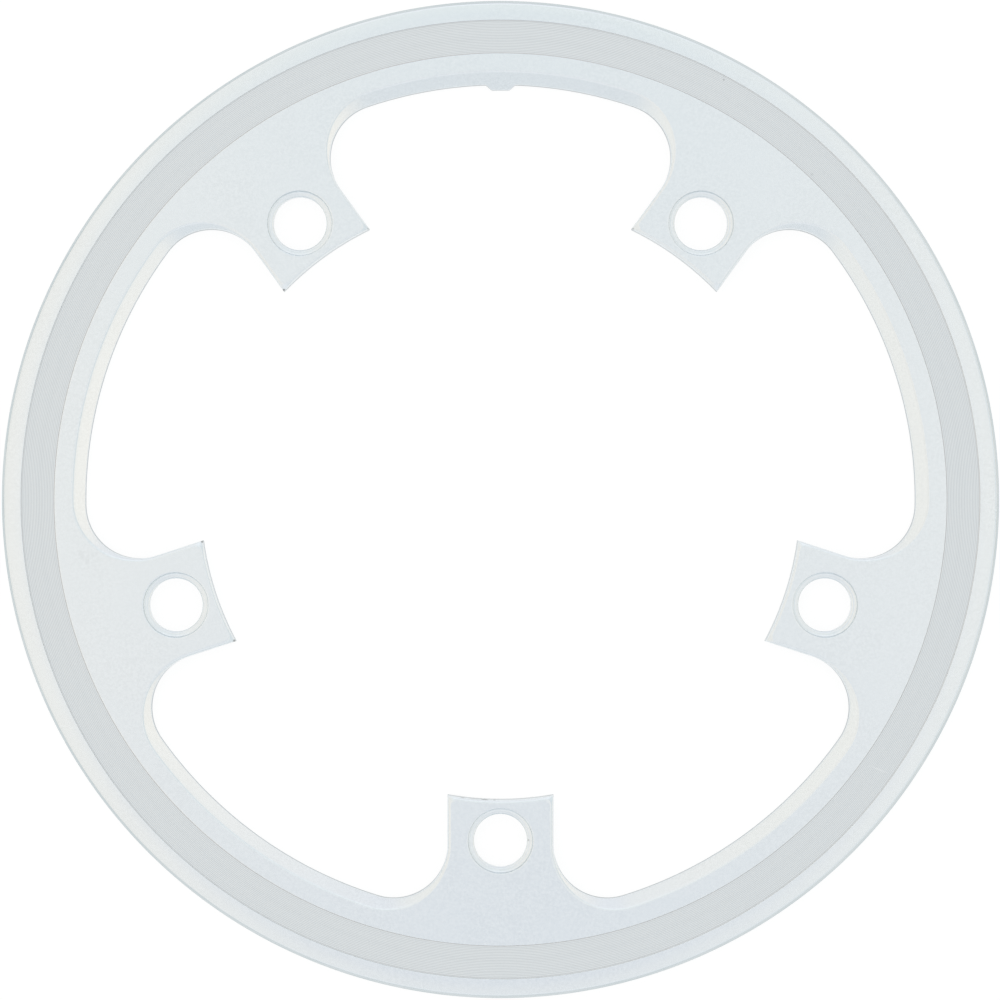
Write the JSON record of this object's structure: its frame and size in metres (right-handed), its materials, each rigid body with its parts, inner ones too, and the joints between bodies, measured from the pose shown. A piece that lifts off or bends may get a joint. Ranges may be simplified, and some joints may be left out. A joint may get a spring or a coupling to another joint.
{
  "type": "bicycle chain guard",
  "caption": "Flat aluminium ring with inward arms, counterbored bolt holes, bevelled openings and a turned band; bolts to a bicycle crank to keep clothing off the chain.",
  "frame": {"origin": "centre of the bolt circle, on the flat back face", "axes": "+Z along the ring's axis, out of the front face; +Y towards the locating nub, midway between two arms"},
  "size_m": [0.19, 0.19, 0.004],
  "materials": {
    "anodised_aluminium": "satin silver anodised, with a turned band of fine concentric grooves"
  },
  "bodies": {
    "root": {"chain_guard": "anodised_aluminium"}
  },
  "joints": []
}
